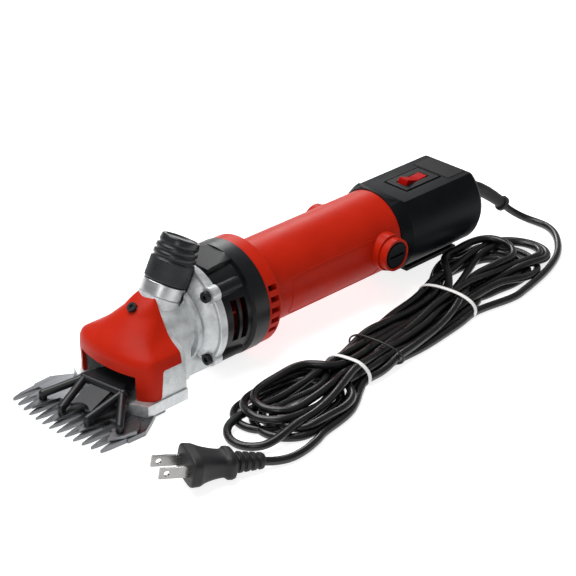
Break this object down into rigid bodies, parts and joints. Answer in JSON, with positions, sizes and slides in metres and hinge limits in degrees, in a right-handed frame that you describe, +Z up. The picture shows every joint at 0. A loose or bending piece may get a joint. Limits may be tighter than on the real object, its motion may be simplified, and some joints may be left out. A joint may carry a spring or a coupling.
{
  "type": "electric sheep shears",
  "caption": "Corded electric sheep shears with a comb and cutter head, tension nut, red motor handle, rocker switch and a hank of mains cord with a plug.",
  "frame": {"origin": "on the surface that the shears stand on, below the middle of the tool's length", "axes": "+X along the handle from the comb to the cord, +Y across the tool, +Z up"},
  "size_m": [0.3908, 0.1589, 0.0875],
  "materials": {
    "red_shell": "satin moulded plastic",
    "red_fan": "matt moulded plastic",
    "black_shell": "fine grained",
    "knob": "satin with a diamond knurl",
    "cast_head": "grainy as-cast",
    "bright_aluminium": "turned",
    "blade_steel": "ground",
    "steel": "machined",
    "black_steel": "black oxide",
    "core_steel": "laminated",
    "bronze": "sintered",
    "brass": "machined",
    "copper": "enamelled wire",
    "carbon": "graphite",
    "rocker_red": "glossy",
    "switch_plastic": "smooth",
    "label": "printed plate left blank",
    "cord_pvc": "glossy flexible sheath",
    "plug_pvc": "satin moulded",
    "tie_white": "smooth band",
    "tie_black": "coated wire",
    "blade_plate": "nickel plated"
  },
  "bodies": {
    "casing": {"motor_housing": "red_shell", "fan_shroud": "black_shell", "gearbox_casting": "cast_head", "gearbox_screws": "black_steel", "head_casting": "cast_head", "head_screws": "steel", "head_cover": "red_shell", "cover_screw": "black_steel", "tension_barrel": "bright_aluminium", "comb": "blade_steel", "comb_screws": "black_steel", "fulcrum_post": "steel", "crank_bearing": "steel", "crank_bush": "bronze", "front_bearing": "steel", "rear_bearing": "steel", "stator_core": "core_steel", "stator_coils": "copper", "brush_holders": "brass", "carbon_brushes": "carbon", "brush_springs": "steel", "brush_caps": "black_shell", "rear_cover": "black_shell", "rear_cover_screws": "steel", "switch_frame": "switch_plastic", "switch_body": "switch_plastic", "label_plate": "label", "filter_cover": "black_shell", "filter_mesh": "switch_plastic", "cord_clamp": "black_shell", "clamp_screws": "steel", "strain_relief": "plug_pvc", "cord_lead": "cord_pvc", "cord_hank": "cord_pvc", "cord_tail": "cord_pvc", "hank_ties": "tie_white", "twist_tie": "tie_black", "plug_body": "plug_pvc", "plug_blades": "blade_plate"},
    "rotor": {"armature_shaft": "steel", "rotor_core": "core_steel", "rotor_windings": "copper", "commutator": "copper", "cooling_fan": "red_fan", "pinion": "steel"},
    "crank": {"crank_shaft": "steel", "drive_gear": "steel"},
    "roller": {"crank_roller": "bronze"},
    "swing_fork": {"fork": "black_steel", "fork_feet": "steel", "cutter": "blade_steel"},
    "tension_slider": {"tension_pin": "steel"},
    "nut": {"tension_nut": "knob"},
    "rocker": {"rocker_button": "rocker_red"}
  },
  "joints": [
    {"name": "rotor_spin", "type": "hinge", "parent": "casing", "child": "rotor", "pos_m": [0, 0, 0.034], "axis": [1, 0, 0], "continuous": true},
    {"name": "crank_spin", "type": "hinge", "parent": "casing", "child": "crank", "pos_m": [-0.07, 0, 0.0188], "axis": [1, 0, 0], "continuous": true},
    {"name": "roller_spin", "type": "hinge", "parent": "crank", "child": "roller", "pos_m": [-0.0875, 0.00153, 0.02009], "axis": [1, 0, 0], "continuous": true},
    {"name": "fork_swing", "type": "hinge", "parent": "casing", "child": "swing_fork", "pos_m": [-0.1, 0, 0.015], "axis": [0, 0, 1], "range_deg": [-18, 2]},
    {"name": "tension_lift", "type": "slide", "parent": "casing", "child": "tension_slider", "axis": [0.4848, 0, 0.8746], "range_m": [0, 0.003]},
    {"name": "tension_turn", "type": "hinge", "parent": "tension_slider", "child": "nut", "pos_m": [-0.098, 0, 0.022], "axis": [0.4848, 0, 0.8746], "range_deg": [0, 720]},
    {"name": "rocker_switch", "type": "hinge", "parent": "casing", "child": "rocker", "pos_m": [0.1275, 0, 0.053], "axis": [0, 1, 0], "range_deg": [-16, 0]}
  ],
  "couplings": [
    {"joint": "crank_spin", "follows": "rotor_spin", "ratio": -0.31034},
    {"joint": "tension_turn", "follows": "tension_lift", "rad_per_m": 4188}
  ]
}
